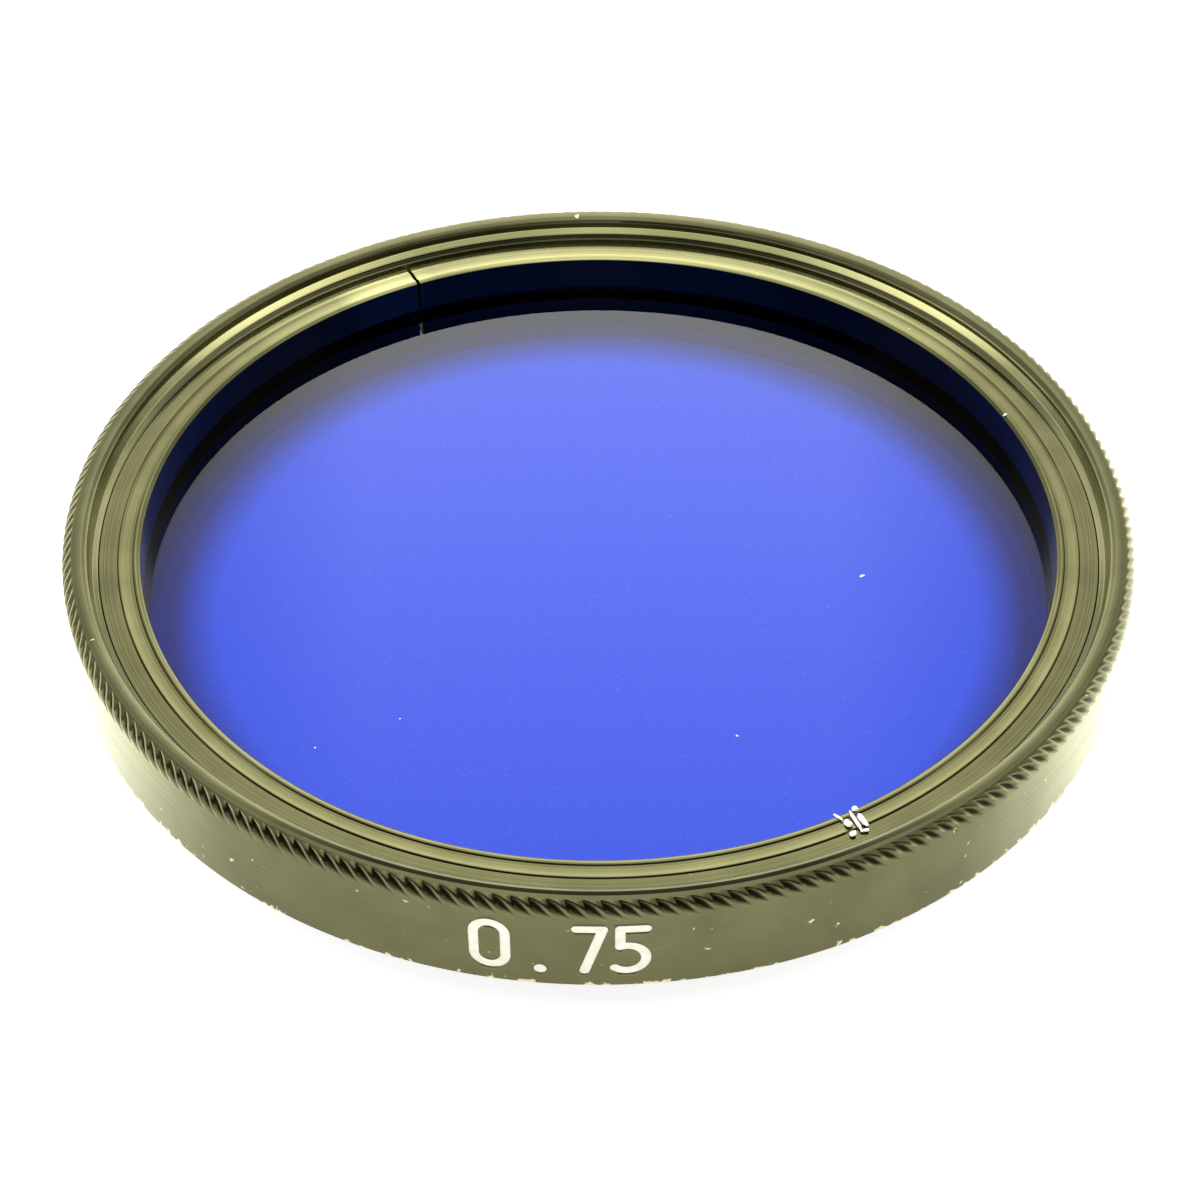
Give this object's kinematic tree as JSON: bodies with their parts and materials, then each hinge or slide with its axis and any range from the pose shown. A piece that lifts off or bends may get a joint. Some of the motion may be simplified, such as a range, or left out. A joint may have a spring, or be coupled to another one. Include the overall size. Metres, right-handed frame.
{
  "type": "camera color filter",
  "caption": "Screw-in blue colour filter for a camera lens, with a knurled metal ring, flat glass and a split spring ring.",
  "frame": {"origin": "centre of the ring at the rear end of the male thread, on the surface it lies on", "axes": "+Z along the glass axis towards the knurled front; -Y faces the engraved number"},
  "size_m": [0.052, 0.052, 0.0071],
  "materials": {
    "anodised_ring": "satin black anodised, worn",
    "blue_glass": "polished",
    "anodised_spring": "satin black anodised",
    "white_paint": "dry engraving paint"
  },
  "bodies": {
    "root": {"mount_ring": "anodised_ring", "filter_glass": "blue_glass", "spring_ring": "anodised_spring", "number_paint": "white_paint"}
  },
  "joints": []
}
